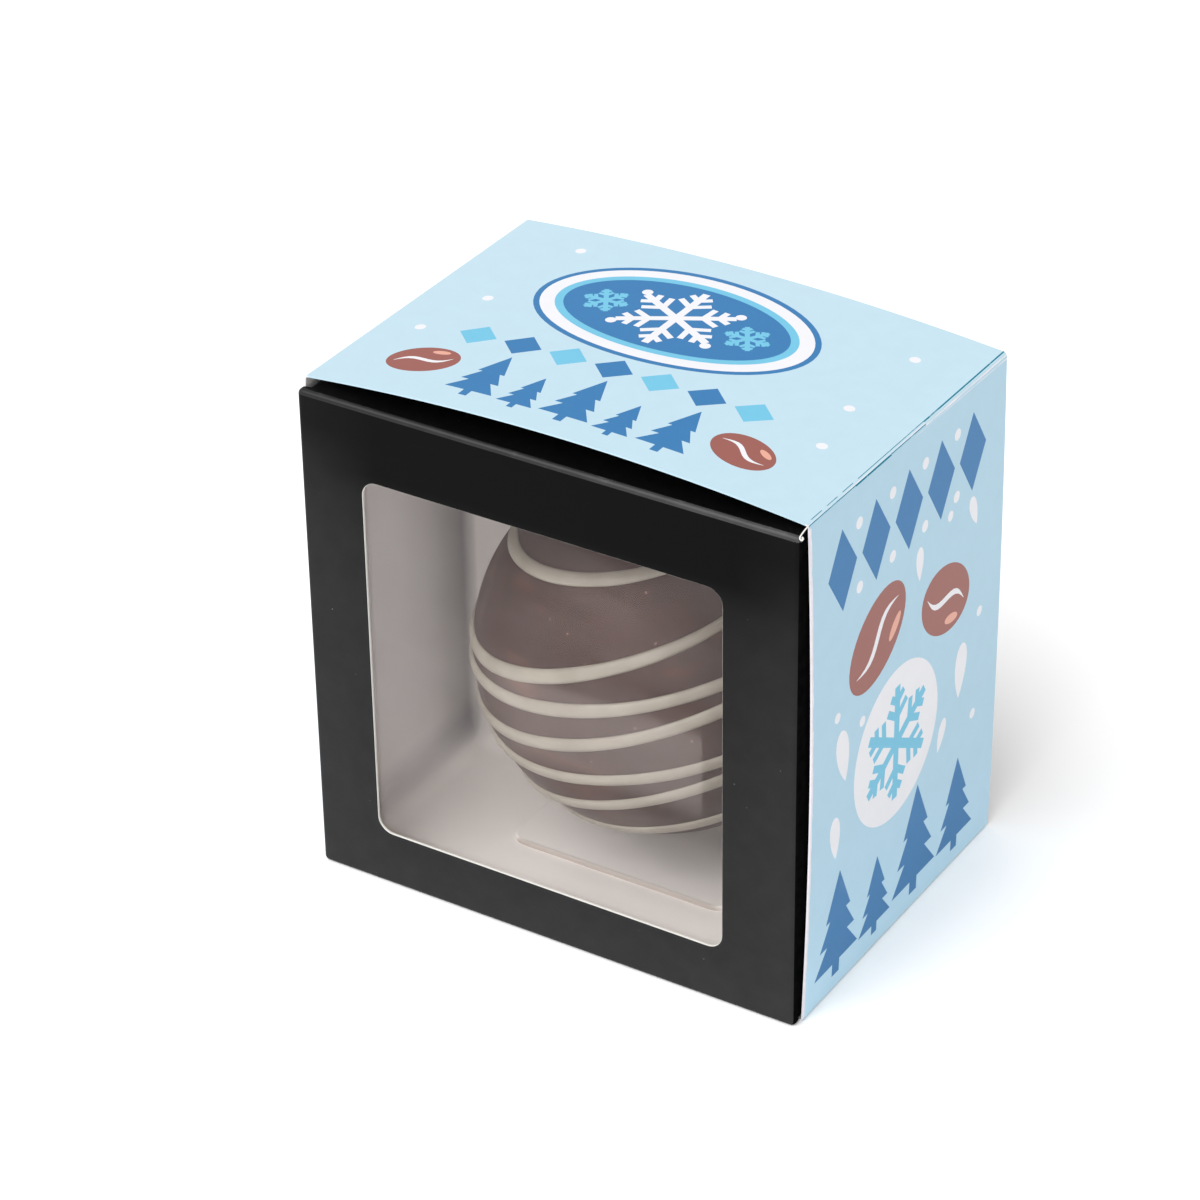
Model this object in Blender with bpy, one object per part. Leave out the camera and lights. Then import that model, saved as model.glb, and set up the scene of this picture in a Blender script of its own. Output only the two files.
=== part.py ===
# A hot chocolate sphere in its shut window pack, modelled in metres.
# +X is to the right of the window, -Y is the window side and +Z is up.
# The origin is the middle of the pack's base.

import math

import bmesh
import bpy
from mathutils import Vector

# Whole pack
PACK_DEPTH = 0.0641
FRONT_Y = -PACK_DEPTH / 2
BACK_Y = PACK_DEPTH / 2
CLEARANCE = 0.0003

# Sleeve: a printed band of thin board, bowed between its folds and a little askew
SLEEVE_RIGHT = 0.0442
SLEEVE_LEFT_FRONT = 0.0447
SLEEVE_LEFT_BACK = 0.0442
SLEEVE_HEIGHT_LEFT = 0.0896
SLEEVE_HEIGHT_RIGHT_FRONT = 0.0894
SLEEVE_HEIGHT_RIGHT_BACK = 0.0888
SLEEVE_BOARD = 0.0003
SLEEVE_SETBACK = 0.0020
SLEEVE_FOLD = 0.0007
TOP_BOW_FRONT = 0.0024
TOP_BOW_BACK = 0.00205
LEFT_BOW = 0.0004
RIGHT_BOW_FRONT = 0.0009
RIGHT_BOW_BACK = 0.0004
BOW_FADE = 1.4
SLEEVE_STATIONS = 8
PANEL_STEPS = 10
FOLD_STEPS = 3

# Carton: black folding board with a window in its front panel
CARTON_BOARD = 0.0004
CARTON_WIDTH = 0.0874
CARTON_TOP = 0.0880
CARTON_BOTTOM = SLEEVE_BOARD + CLEARANCE
CARTON_BOW = 0.0003
CARTON_CORNER = 0.0010
CARTON_EDGE = 0.0008
CARTON_LEVELS = 6
FRONT_WIDTH = 0.0886
FRONT_X = -0.00055
FRONT_BOTTOM = 0.0
FRONT_ROUNDING = 0.0004
# The smallest radius that a corner shrinks to where its block's rim turns in
LEAST_CORNER = 0.0004
WINDOW_WIDTH = 0.0642
WINDOW_HEIGHT = 0.0652
WINDOW_X = -0.00125
WINDOW_Z = 0.0426
WINDOW_CORNER = 0.0027

# Window film behind the front panel
FILM_THICKNESS = 0.00018
FILM_MARGIN = 0.0040

# Moulded tray with soft inner corners, a low step in its floor and a round seat in its back
TRAY_WALL = 0.0004
TRAY_CORNER = 0.0012
TRAY_EDGE = 0.0050
TRAY_BACK_Y = 0.0093
STEP_HEIGHT = 0.0009
STEP_WIDTH = 0.0412
STEP_X = 0.0002
STEP_FRONT_Y = -0.0140
STEP_CORNER = 0.0030
STEP_EDGE = 0.0004
SEAT_RADIUS = 0.0303
SEAT_STEPS = 64

# Chocolate sphere and its drizzle
SPHERE_RADIUS = 0.0307
SPHERE_X = 0.0013
SPHERE_Y = 0.00024
SPHERE_Z = 0.0395
SPHERE_SEGMENTS = 48
SPHERE_RINGS = 24
DRIZZLE_HALF_WIDTH = 0.00115
DRIZZLE_RELIEF = 0.0006
DRIZZLE_ROOT = 0.0006
DRIZZLE_STEPS = 48
DRIZZLE_SIDES = 8
WIDTH_WAVE = 0.05
WAVES_PER_RING = 3
# Each drizzle ring: height over the sphere's middle, rise per metre to the right and to the back,
# its share of the usual width, and how much thinner it gets towards the right
DRIZZLE_RINGS = (
    (0.02425, 0.19, 0.08, 1.00, 0.15),
    (0.0138, 0.33, 0.145, 1.00, 0.26),
    (0.0063, 0.225, 0.075, 0.98, 0.06),
    (0.0011, 0.30, 0.11, 1.02, 0.00),
    (-0.0057, 0.205, 0.115, 1.00, 0.06),
    (-0.0133, 0.34, 0.085, 1.12, 0.05),
    (-0.0188, 0.21, 0.20, 1.25, 0.00),
)

# Places worked out from the sizes above
SLEEVE_FRONT_Y = FRONT_Y + SLEEVE_SETBACK
FILM_FRONT_Y = FRONT_Y + CARTON_BOARD + CLEARANCE
FILM_BACK_Y = FILM_FRONT_Y + FILM_THICKNESS
TRAY_HALF_WIDTH = CARTON_WIDTH / 2 - CARTON_BOARD - CLEARANCE
TRAY_BOTTOM = CARTON_BOTTOM + CARTON_BOARD + CLEARANCE
TRAY_TOP = CARTON_TOP - CARTON_BOARD - CLEARANCE
TRAY_FRONT_Y = FILM_FRONT_Y
# How far a cutter reaches past what it cuts, and its rounding
OVERCUT = 0.010
CUTTER_ROUNDING = 0.0005
# Angles above which an edge is shaded sharp
BOARD_SHARP_DEGREES = 35
FOOD_SHARP_DEGREES = 50


def clear_scene():
    for item in list(bpy.data.objects):
        bpy.data.objects.remove(item)


def make_material(name, colour, roughness, alpha=1.0):
    material = bpy.data.materials.new(name)
    material.use_nodes = True
    shader = material.node_tree.nodes["Principled BSDF"]
    shader.inputs["Base Color"].default_value = (*colour, 1.0)
    shader.inputs["Roughness"].default_value = roughness
    shader.inputs["Alpha"].default_value = alpha
    return material


def object_from(name, points, faces):
    """A new object whose closed mesh faces outwards."""
    mesh = bpy.data.meshes.new(name)
    mesh.from_pydata(points, [], faces)
    work = bmesh.new()
    work.from_mesh(mesh)
    bmesh.ops.recalc_face_normals(work, faces=work.faces)
    work.to_mesh(mesh)
    work.free()
    item = bpy.data.objects.new(name, mesh)
    bpy.context.scene.collection.objects.link(item)
    return item


def move_across(item, distance):
    for vertex in item.data.vertices:
        vertex.co.x += distance


def finish(item, material, sharp_degrees=BOARD_SHARP_DEGREES):
    item.data.materials.clear()
    item.data.materials.append(material)
    item.data.shade_smooth()
    item.data.set_sharp_from_angle(angle=math.radians(sharp_degrees))


def combine(item, other, operation):
    """Applies one exact Boolean to item and removes the other object."""
    modifier = item.modifiers.new("Combine", "BOOLEAN")
    modifier.operation = operation
    modifier.solver = "EXACT"
    modifier.object = other
    graph = bpy.context.evaluated_depsgraph_get()
    mesh = bpy.data.meshes.new_from_object(item.evaluated_get(graph))
    item.modifiers.clear()
    item.data = mesh
    bpy.data.objects.remove(other)


def rounded_outline(x_half, y_range, radius, steps):
    """Points of a rounded rectangle that is centred across X."""
    y_low, y_high = y_range
    corners = (
        (x_half - radius, y_high - radius, 0),
        (radius - x_half, y_high - radius, 90),
        (radius - x_half, y_low + radius, 180),
        (x_half - radius, y_low + radius, 270),
    )
    points = []
    for x, y, start in corners:
        for step in range(steps + 1):
            angle = math.radians(start + 90 * step / steps)
            points.append((x + radius * math.cos(angle), y + radius * math.sin(angle)))
    return points


def loft(name, rings):
    """A closed object through rings with equal numbers of points, capped at both ends."""
    count = len(rings[0])
    points = [point for ring in rings for point in ring]
    faces = [tuple(range(count)), tuple(range(len(points) - count, len(points)))]
    for level in range(len(rings) - 1):
        low = level * count
        high = low + count
        for here in range(count):
            beside = (here + 1) % count
            faces.append((low + here, low + beside, high + beside, high + here))
    return object_from(name, points, faces)


def rounded_block(name, x_half, y_range, z_range, corner, edge, bow=0.0, levels=1):
    """An upright block with rounded corners and rims, whose sides can bow out between its ends."""
    z_low, z_high = z_range
    turns = [math.pi / 2 * (1 - step / FOLD_STEPS) for step in range(FOLD_STEPS + 1)]
    rim = [(edge * (1 - math.sin(turn)), edge * (1 - math.cos(turn))) for turn in turns]
    straight = z_high - z_low - 2 * edge
    stations = [(z_low + rise, inset) for rise, inset in rim]
    stations += [(z_low + edge + straight * step / levels, 0.0) for step in range(1, levels)]
    stations += [(z_high - rise, inset) for rise, inset in reversed(rim)]
    rings = []
    for z, inset in stations:
        share = 2 * (z - z_low) / (z_high - z_low) - 1
        half = x_half - inset + bow * (1 - share * share)
        inner_range = (y_range[0] + inset, y_range[1] - inset)
        radius = max(corner - inset, LEAST_CORNER)
        outline = rounded_outline(half, inner_range, radius, FOLD_STEPS)
        rings.append([(x, y, z) for x, y in outline])
    return loft(name, rings)


def upright_plate(name, centre, size, y_range, corner, steps=4):
    """A rounded plate that stands across Y, such as the film or the window's cutter."""
    z_range = (centre[1] - size[1] / 2, centre[1] + size[1] / 2)
    outline = rounded_outline(size[0] / 2, z_range, corner, steps)
    rings = [[(centre[0] + x, y, z) for x, z in outline] for y in y_range]
    return loft(name, rings)


def between(first, second, share):
    return first + (second - first) * share


def sleeve_section(y, inset):
    """The sleeve's outline at one depth, moved inwards by inset."""
    share = (y - SLEEVE_FRONT_Y) / (BACK_Y - SLEEVE_FRONT_Y)
    top_bow = between(TOP_BOW_FRONT, TOP_BOW_BACK, share)
    right_bow = between(RIGHT_BOW_BACK, RIGHT_BOW_FRONT, (1 - share) ** BOW_FADE)
    right_height = between(SLEEVE_HEIGHT_RIGHT_FRONT, SLEEVE_HEIGHT_RIGHT_BACK, share)
    right_fold = SLEEVE_RIGHT - SLEEVE_FOLD
    left_fold = SLEEVE_FOLD - between(SLEEVE_LEFT_FRONT, SLEEVE_LEFT_BACK, share)
    # Each fold's middle and starting angle, and how far the panel after it bows across and up
    folds = (
        (right_fold, right_height - SLEEVE_FOLD, 0, 0.0, top_bow),
        (left_fold, SLEEVE_HEIGHT_LEFT - SLEEVE_FOLD, 90, -LEFT_BOW, 0.0),
        (left_fold, SLEEVE_FOLD, 180, 0.0, 0.0),
        (right_fold, SLEEVE_FOLD, 270, right_bow, 0.0),
    )
    radius = SLEEVE_FOLD - inset
    arcs = []
    for x, z, start, _, _ in folds:
        turns = [math.radians(start + 90 * step / FOLD_STEPS) for step in range(FOLD_STEPS + 1)]
        arcs.append([(x + radius * math.cos(turn), z + radius * math.sin(turn)) for turn in turns])
    points = []
    for number, (_, _, _, bow_across, bow_up) in enumerate(folds):
        points += arcs[number]
        start = arcs[number][-1]
        end = arcs[(number + 1) % len(arcs)][0]
        for step in range(1, PANEL_STEPS):
            along = step / PANEL_STEPS
            bulge = 4 * along * (1 - along)
            x = between(start[0], end[0], along) + bow_across * bulge
            z = between(start[1], end[1], along) + bow_up * bulge
            points.append((x, z))
    return [(x, y, z) for x, z in points]


def build_sleeve():
    depth = BACK_Y - SLEEVE_FRONT_Y
    stations = [SLEEVE_FRONT_Y + depth * step / SLEEVE_STATIONS for step in range(SLEEVE_STATIONS + 1)]
    sleeve = loft("sleeve", [sleeve_section(y, 0.0) for y in stations])
    stations[0] -= OVERCUT
    stations[-1] += OVERCUT
    inner = [sleeve_section(min(max(y, SLEEVE_FRONT_Y), BACK_Y), SLEEVE_BOARD) for y in stations]
    rings = [[(x, y, z) for x, _, z in ring] for ring, y in zip(inner, stations)]
    combine(sleeve, loft("sleeve_inside", rings), "DIFFERENCE")
    finish(sleeve, make_material("sleeve_board", (0.61, 0.80, 0.90), 0.45))


def build_carton():
    carton = rounded_block(
        "carton",
        CARTON_WIDTH / 2,
        (FRONT_Y, BACK_Y),
        (CARTON_BOTTOM, CARTON_TOP),
        CARTON_CORNER,
        CARTON_EDGE,
        CARTON_BOW,
        CARTON_LEVELS,
    )
    front = rounded_block(
        "carton_front",
        FRONT_WIDTH / 2,
        (FRONT_Y, SLEEVE_FRONT_Y - CLEARANCE),
        (FRONT_BOTTOM, CARTON_TOP),
        FRONT_ROUNDING,
        FRONT_ROUNDING,
    )
    move_across(front, FRONT_X)
    combine(carton, front, "UNION")
    inside = rounded_block(
        "carton_inside",
        CARTON_WIDTH / 2 - CARTON_BOARD,
        (FRONT_Y + CARTON_BOARD, BACK_Y - CARTON_BOARD),
        (CARTON_BOTTOM + CARTON_BOARD, CARTON_TOP - CARTON_BOARD),
        CARTON_CORNER - CARTON_BOARD,
        CARTON_EDGE - CARTON_BOARD,
        CARTON_BOW,
        CARTON_LEVELS,
    )
    combine(carton, inside, "DIFFERENCE")
    window = upright_plate(
        "carton_window",
        (WINDOW_X, WINDOW_Z),
        (WINDOW_WIDTH, WINDOW_HEIGHT),
        (FRONT_Y - OVERCUT, FRONT_Y + OVERCUT),
        WINDOW_CORNER,
    )
    combine(carton, window, "DIFFERENCE")
    finish(carton, make_material("carton_board", (0.012, 0.012, 0.013), 0.35))


def build_film():
    film = upright_plate(
        "window_film",
        (WINDOW_X, WINDOW_Z),
        (WINDOW_WIDTH + 2 * FILM_MARGIN, WINDOW_HEIGHT + 2 * FILM_MARGIN),
        (FILM_FRONT_Y, FILM_BACK_Y),
        WINDOW_CORNER,
    )
    finish(film, make_material("clear_film", (0.95, 0.95, 0.95), 0.1, 0.25))


def build_tray():
    tray = rounded_block(
        "tray",
        TRAY_HALF_WIDTH,
        (TRAY_FRONT_Y - OVERCUT, TRAY_BACK_Y + TRAY_WALL),
        (TRAY_BOTTOM, TRAY_TOP),
        TRAY_CORNER + TRAY_WALL,
        TRAY_EDGE + TRAY_WALL,
    )
    step_top = TRAY_BOTTOM + TRAY_WALL + STEP_HEIGHT
    inside = rounded_block(
        "tray_inside",
        TRAY_HALF_WIDTH - TRAY_WALL,
        (TRAY_FRONT_Y - 2 * OVERCUT, TRAY_BACK_Y),
        (TRAY_BOTTOM + TRAY_WALL, TRAY_TOP - TRAY_WALL),
        TRAY_CORNER,
        TRAY_EDGE,
    )
    combine(tray, inside, "DIFFERENCE")
    step = rounded_block(
        "tray_step",
        STEP_WIDTH / 2,
        (STEP_FRONT_Y, TRAY_BACK_Y + TRAY_WALL / 2),
        (TRAY_BOTTOM + TRAY_WALL / 2, step_top),
        STEP_CORNER,
        STEP_EDGE,
    )
    move_across(step, STEP_X)
    combine(tray, step, "UNION")
    front_cut = rounded_block(
        "tray_front_cut",
        TRAY_HALF_WIDTH + OVERCUT,
        (TRAY_FRONT_Y - 2 * OVERCUT, TRAY_FRONT_Y),
        (TRAY_BOTTOM - OVERCUT, TRAY_TOP + OVERCUT),
        CUTTER_ROUNDING,
        CUTTER_ROUNDING,
    )
    combine(tray, front_cut, "DIFFERENCE")
    turns = [2 * math.pi * step / SEAT_STEPS for step in range(SEAT_STEPS)]
    circle = [(SEAT_RADIUS * math.cos(turn), SEAT_RADIUS * math.sin(turn)) for turn in turns]
    depths = (TRAY_BACK_Y - TRAY_WALL, TRAY_BACK_Y + OVERCUT)
    seat = loft("tray_seat", [[(SPHERE_X + x, y, SPHERE_Z + z) for x, z in circle] for y in depths])
    combine(tray, seat, "DIFFERENCE")
    finish(tray, make_material("tray_plastic", (0.80, 0.79, 0.77), 0.4))


def drizzle_ring(name, height, rise_right, rise_back, width_share, thinning, phase):
    """A bead of drizzle round the sphere, where a tilted plane cuts it."""
    normal = Vector((-rise_right, -rise_back, 1.0))
    offset = height / normal.length
    normal.normalize()
    ring_radius = math.sqrt(SPHERE_RADIUS ** 2 - offset ** 2)
    right = Vector((1, 0, 0)).cross(normal).normalized()
    ahead = normal.cross(right)
    rings = []
    for step in range(DRIZZLE_STEPS):
        turn = 2 * math.pi * step / DRIZZLE_STEPS
        spot = normal * offset + (right * math.cos(turn) + ahead * math.sin(turn)) * ring_radius
        outward = spot.normalized()
        along = ahead * math.cos(turn) - right * math.sin(turn)
        across = outward.cross(along)
        wave = 1 + WIDTH_WAVE * math.sin(WAVES_PER_RING * turn + phase)
        width = DRIZZLE_HALF_WIDTH * width_share * wave * (1 - thinning * outward.x)
        section = []
        for side in range(DRIZZLE_SIDES):
            angle = 2 * math.pi * side / DRIZZLE_SIDES
            lift = DRIZZLE_RELIEF if math.sin(angle) > 0 else DRIZZLE_ROOT
            section.append(spot + across * width * math.cos(angle) + outward * lift * math.sin(angle))
        rings.append(section)
    count = DRIZZLE_SIDES
    points = [point for ring in rings for point in ring]
    faces = []
    for step in range(DRIZZLE_STEPS):
        low = step * count
        high = (step + 1) % DRIZZLE_STEPS * count
        for here in range(count):
            beside = (here + 1) % count
            faces.append((low + here, low + beside, high + beside, high + here))
    return object_from(name, points, faces)


def build_sphere():
    """The sphere with its drizzle fused on by one Boolean union."""
    mesh = bpy.data.meshes.new("chocolate_sphere")
    work = bmesh.new()
    bmesh.ops.create_uvsphere(
        work, u_segments=SPHERE_SEGMENTS, v_segments=SPHERE_RINGS, radius=SPHERE_RADIUS
    )
    work.to_mesh(mesh)
    work.free()
    sphere = bpy.data.objects.new("chocolate_sphere", mesh)
    bpy.context.scene.collection.objects.link(sphere)
    drizzle = bpy.data.collections.new("drizzle")
    bpy.context.scene.collection.children.link(drizzle)
    for number, ring in enumerate(DRIZZLE_RINGS):
        bead = drizzle_ring("drizzle_%d" % number, *ring, number)
        bpy.context.scene.collection.objects.unlink(bead)
        drizzle.objects.link(bead)
    modifier = sphere.modifiers.new("Drizzle", "BOOLEAN")
    modifier.operation = "UNION"
    modifier.solver = "EXACT"
    modifier.operand_type = "COLLECTION"
    modifier.collection = drizzle
    graph = bpy.context.evaluated_depsgraph_get()
    fused = bpy.data.meshes.new_from_object(sphere.evaluated_get(graph))
    sphere.modifiers.clear()
    sphere.data = fused
    for bead in list(drizzle.objects):
        bpy.data.objects.remove(bead)
    bpy.data.collections.remove(drizzle)
    sphere.location = (SPHERE_X, SPHERE_Y, SPHERE_Z)
    milk_chocolate = make_material("milk_chocolate", (0.11, 0.055, 0.04), 0.3)
    finish(sphere, milk_chocolate, FOOD_SHARP_DEGREES)


clear_scene()
build_sleeve()
build_carton()
build_film()
build_tray()
build_sphere()
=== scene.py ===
# The looks of a hot chocolate sphere in its shut window pack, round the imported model.
# Lengths are in metres. +X is right of the window, -Y is the window side and +Z is up.

import math
import random

import bmesh
import bpy
from mathutils import Matrix, Vector, noise
from mathutils.geometry import delaunay_2d_cdt


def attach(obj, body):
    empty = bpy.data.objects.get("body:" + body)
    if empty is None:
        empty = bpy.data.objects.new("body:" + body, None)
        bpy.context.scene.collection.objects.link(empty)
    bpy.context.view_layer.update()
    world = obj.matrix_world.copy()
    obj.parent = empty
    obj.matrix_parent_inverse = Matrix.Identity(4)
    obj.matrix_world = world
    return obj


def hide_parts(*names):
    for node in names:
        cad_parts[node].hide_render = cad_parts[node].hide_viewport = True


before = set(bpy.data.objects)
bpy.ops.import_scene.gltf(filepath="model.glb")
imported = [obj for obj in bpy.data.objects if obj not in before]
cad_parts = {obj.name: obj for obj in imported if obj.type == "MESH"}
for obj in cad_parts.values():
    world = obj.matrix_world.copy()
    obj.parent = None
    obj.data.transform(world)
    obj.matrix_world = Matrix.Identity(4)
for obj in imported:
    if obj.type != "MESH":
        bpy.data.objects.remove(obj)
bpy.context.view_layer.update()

MM = 0.001
WELD = 0.000002
CLEARANCE = 0.0003

# Whole pack
FRONT_Y = -0.03205
BACK_Y = 0.03205

# Sleeve, bowed between its folds and a little askew
SLEEVE_RIGHT = 0.0442
SLEEVE_LEFT_FRONT = 0.0447
SLEEVE_LEFT_BACK = 0.0442
SLEEVE_HEIGHT_LEFT = 0.0896
SLEEVE_HEIGHT_RIGHT_FRONT = 0.0894
SLEEVE_HEIGHT_RIGHT_BACK = 0.0888
SLEEVE_BOARD = 0.0003
SLEEVE_FRONT_Y = FRONT_Y + 0.0020
SLEEVE_FOLD = 0.0007
TOP_BOW_FRONT = 0.0024
TOP_BOW_BACK = 0.00205
LEFT_BOW = 0.0004
RIGHT_BOW_FRONT = 0.0009
RIGHT_BOW_BACK = 0.0004
BOW_FADE = 1.4
WORN_EDGE = 0.0005
WORN_EDGE_STEPS = 60
# The print is laid out on a flat panel of these sizes
PANEL_HALF = 0.0435
PANEL_LOW = 0.0007
PANEL_HIGH = 0.0887
ACROSS_STEPS = 30
DEPTH_STEPS = 40
FOLD_STRIPS = 8

# Carton
CARTON_BOARD = 0.0004
CARTON_HALF = 0.0437
CARTON_TOP = 0.0880
CARTON_BOTTOM = 0.0006
CARTON_BOW = 0.0003
FRONT_LEFT = -0.04485
FRONT_RIGHT = 0.04375
WINDOW_X = -0.00125
WINDOW_Z = 0.0426
WINDOW_WIDTH = 0.0642
WINDOW_HEIGHT = 0.0652
WINDOW_CORNER = 0.0027
WINDOW_ACROSS = (WINDOW_X - WINDOW_WIDTH / 2, WINDOW_X + WINDOW_WIDTH / 2)
WINDOW_UP = (WINDOW_Z - WINDOW_HEIGHT / 2, WINDOW_Z + WINDOW_HEIGHT / 2)
CREASE = 0.0008
SIDE_POINTS = 14
CORNER_STEPS = 8
CREASE_STEPS = 6
SOFT_EDGE = 0.00005
BODY_CORNER = 0.0010
FAN_SHARE = 0.02
# The curl at the carton's top right corner, in millimetres right, back from the front and up
CURL_STEM = ((44.00, 1.75, 89.25), (43.85, 1.20, 88.95), (43.72, 0.65, 88.60), (43.62, 0.20, 88.25))
CURL_CENTRE = (43.90, 0.05, 88.02)
CURL_RADIUS = 0.27
CURL_TURNS = range(170, 441, 45)
CURL_HALF = 0.09
CURL_THICKNESS = 0.25

# Film
FILM_FRONT_Y = FRONT_Y + CARTON_BOARD + CLEARANCE
FILM_THICKNESS = 0.00018
FILM_MARGIN = 0.0040
FILM_STEPS = 24
FILM_RIPPLE = 0.00004
RIPPLES_PER_METRE = 60

# Tray
TRAY_WALL = 0.0004
TRAY_HALF = CARTON_HALF - CARTON_BOARD - CLEARANCE
TRAY_LOW = CARTON_BOTTOM + CARTON_BOARD + CLEARANCE
TRAY_HIGH = CARTON_TOP - CARTON_BOARD - CLEARANCE
TRAY_CORNER = 0.0012
TRAY_EDGE = 0.0050
TRAY_BACK_Y = 0.0093
# Where the painted shade on the tray's left wall begins
TRAY_SHADE_FROM_Y = -0.023
STEP_HEIGHT = 0.0009
STEP_WIDTH = 0.0412
STEP_X = 0.0002
STEP_FRONT_Y = -0.0140
STEP_CORNER = 0.0030
STEP_EDGE = 0.0004
SEAT_RADIUS = 0.0303
LEAST_CORNER = 0.0004
PLAN_STEPS = 5
SEAT_STEPS = 128

# Sphere and drizzle
SPHERE_RADIUS = 0.0307
DRIZZLE_HALF_WIDTH = 0.00115
DRIZZLE_RELIEF = 0.0006
DRIZZLE_ROOT = 0.0006
DRIZZLE_STEPS = 180
DRIZZLE_SIDES = 14
DRIZZLE_SWAY = 0.00025
SWAY_PACE = 1.6
SWELL_PACE = 3.1
FINE_SWELL = 0.06
LONG_SWELL = 0.05
PHASE_GAP = 1.7
BALL_UNEVENNESS = 0.00006
LUMPS_PER_METRE = 90
SPHERE_CENTRE = Vector((0.0013, 0.00024, 0.0395))
# Each drizzle ring: height over the sphere's middle, rise per metre to the right and to the back,
# its share of the usual width, and how much thinner it gets towards the right
DRIZZLE_RINGS = (
    (0.02425, 0.19, 0.08, 1.00, 0.15),
    (0.0138, 0.33, 0.145, 1.00, 0.26),
    (0.0063, 0.225, 0.075, 0.98, 0.06),
    (0.0011, 0.30, 0.11, 1.02, 0.00),
    (-0.0057, 0.205, 0.115, 1.00, 0.06),
    (-0.0133, 0.34, 0.085, 1.12, 0.05),
    (-0.0188, 0.21, 0.20, 1.25, 0.00),
)

# Camera, solved from the corners of the pack
CAMERA_AZIMUTH = 32.3227
CAMERA_ELEVATION = 31.628
CAMERA_ROLL = -0.9454
CAMERA_DISTANCE = 0.66753
CAMERA_ASIDE = -0.009585
CAMERA_UP = 0.0017
CAMERA_TARGET = Vector((0.0, 0.001, 0.0445))
CAMERA_LENS = 125.618
CAMERA_SENSOR = 36

# Studio: each sun's name, azimuth, elevation, strength and spread
SUNS = (("key", -20, 55, 2.0, 50), ("front_fill", 15, 25, 1.0, 60))
SKY_STRENGTH = 0.80
FLOOR_HALF = 12.0
FLOOR_TONE = 0.93


def linear(red, green, blue):
    """A screen colour of 0 to 255 as linear light."""
    out = []
    for value in (red, green, blue):
        share = value / 255
        out.append(share / 12.92 if share <= 0.04045 else ((share + 0.055) / 1.055) ** 2.4)
    return (*out, 1.0)


# Materials


def node(tree, kind, **values):
    made = tree.nodes.new(kind)
    for key, value in values.items():
        setattr(made, key, value)
    return made


def new_material(name, roughness=0.5, specular=0.5):
    material = bpy.data.materials.new(name)
    material.use_nodes = True
    tree = material.node_tree
    shader = tree.nodes["Principled BSDF"]
    shader.inputs["Roughness"].default_value = roughness
    shader.inputs["Specular IOR Level"].default_value = specular
    return material, tree, shader


def object_noise(tree, scale, detail=3.0, stretch=(1, 1, 1), roughness=0.5):
    """A noise texture over the object's own place, with an optional stretch."""
    place = node(tree, "ShaderNodeTexCoord")
    mapping = node(tree, "ShaderNodeMapping")
    mapping.inputs["Scale"].default_value = stretch
    texture = node(tree, "ShaderNodeTexNoise")
    texture.inputs["Scale"].default_value = scale
    texture.inputs["Detail"].default_value = detail
    texture.inputs["Roughness"].default_value = roughness
    tree.links.new(place.outputs["Object"], mapping.inputs["Vector"])
    tree.links.new(mapping.outputs["Vector"], texture.inputs["Vector"])
    return texture.outputs["Fac"]


def object_axis(tree, axis, low, high):
    """How far a point lies from low to high along one of the object's axes, as 0 to 1."""
    place = node(tree, "ShaderNodeTexCoord")
    split = node(tree, "ShaderNodeSeparateXYZ")
    share = node(tree, "ShaderNodeMapRange")
    share.inputs["From Min"].default_value = low
    share.inputs["From Max"].default_value = high
    tree.links.new(place.outputs["Object"], split.inputs["Vector"])
    tree.links.new(split.outputs[axis], share.inputs["Value"])
    return share.outputs["Result"]


def ramp(tree, fac, stops):
    made = node(tree, "ShaderNodeValToRGB")
    elements = made.color_ramp.elements
    while len(elements) < len(stops):
        elements.new(0.5)
    for element, (position, colour) in zip(elements, stops):
        element.position = position
        element.color = colour
    tree.links.new(fac, made.inputs["Fac"])
    return made.outputs["Color"]


def along_axis(tree, axis, reach, stops):
    """A ramp from one end of a reach to the other along one of the object's axes."""
    return ramp(tree, object_axis(tree, axis, *reach), stops)


def mix(tree, fac, first, second, blend="MIX"):
    made = node(tree, "ShaderNodeMix", data_type="RGBA", blend_type=blend)
    for socket, value in (("Factor", fac), ("A", first), ("B", second)):
        target = [s for s in made.inputs if s.name == socket and s.enabled][0]
        if isinstance(value, bpy.types.NodeSocket):
            tree.links.new(value, target)
        else:
            target.default_value = value
    return [s for s in made.outputs if s.enabled][0]


def times(tree, first, second):
    """Two tones or masks multiplied."""
    return mix(tree, 1.0, first, second, "MULTIPLY")


def bump(tree, shader, scale, detail, distance, strength):
    """Fine relief from a noise over the object's own place."""
    made = node(tree, "ShaderNodeBump")
    made.inputs["Distance"].default_value = distance
    made.inputs["Strength"].default_value = strength
    tree.links.new(object_noise(tree, scale, detail), made.inputs["Height"])
    tree.links.new(made.outputs["Normal"], shader.inputs["Normal"])


def shade(colour, factor):
    return (colour[0] * factor, colour[1] * factor, colour[2] * factor, 1.0)


def even(value):
    """The same number in red, green and blue."""
    return (value, value, value, 1.0)


def grey(level):
    return linear(level, level, level * 1.02)


def masks(*stops):
    """Ramp stops from pairs of a position and a plain number."""
    return [(position, even(value)) for position, value in stops]


def greys(*stops):
    """Ramp stops from pairs of a position and a grey level of 0 to 255."""
    return [(position, grey(level)) for position, level in stops]


PALE_BLUE = linear(172, 197, 209)
# The side panels' blue: the pale blue with painted shade
SHADED_SIDE_BLUE = linear(158, 190, 207)
DARK_BLUE = linear(43, 108, 159)
CYAN = linear(98, 174, 202)
BROWN = linear(137, 77, 68)
SALMON = linear(208, 150, 132)
OFF_WHITE = linear(213, 213, 217)
RAW_BOARD = linear(218, 214, 220)
WORN_BOARD = linear(222, 216, 221)
LINE_TEAL = linear(0, 110, 130)
SLEEVE_LINING = linear(226, 224, 222)
CUT_BOARD = linear(214, 212, 207)
CARTON_LINING = linear(228, 226, 222)


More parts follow.
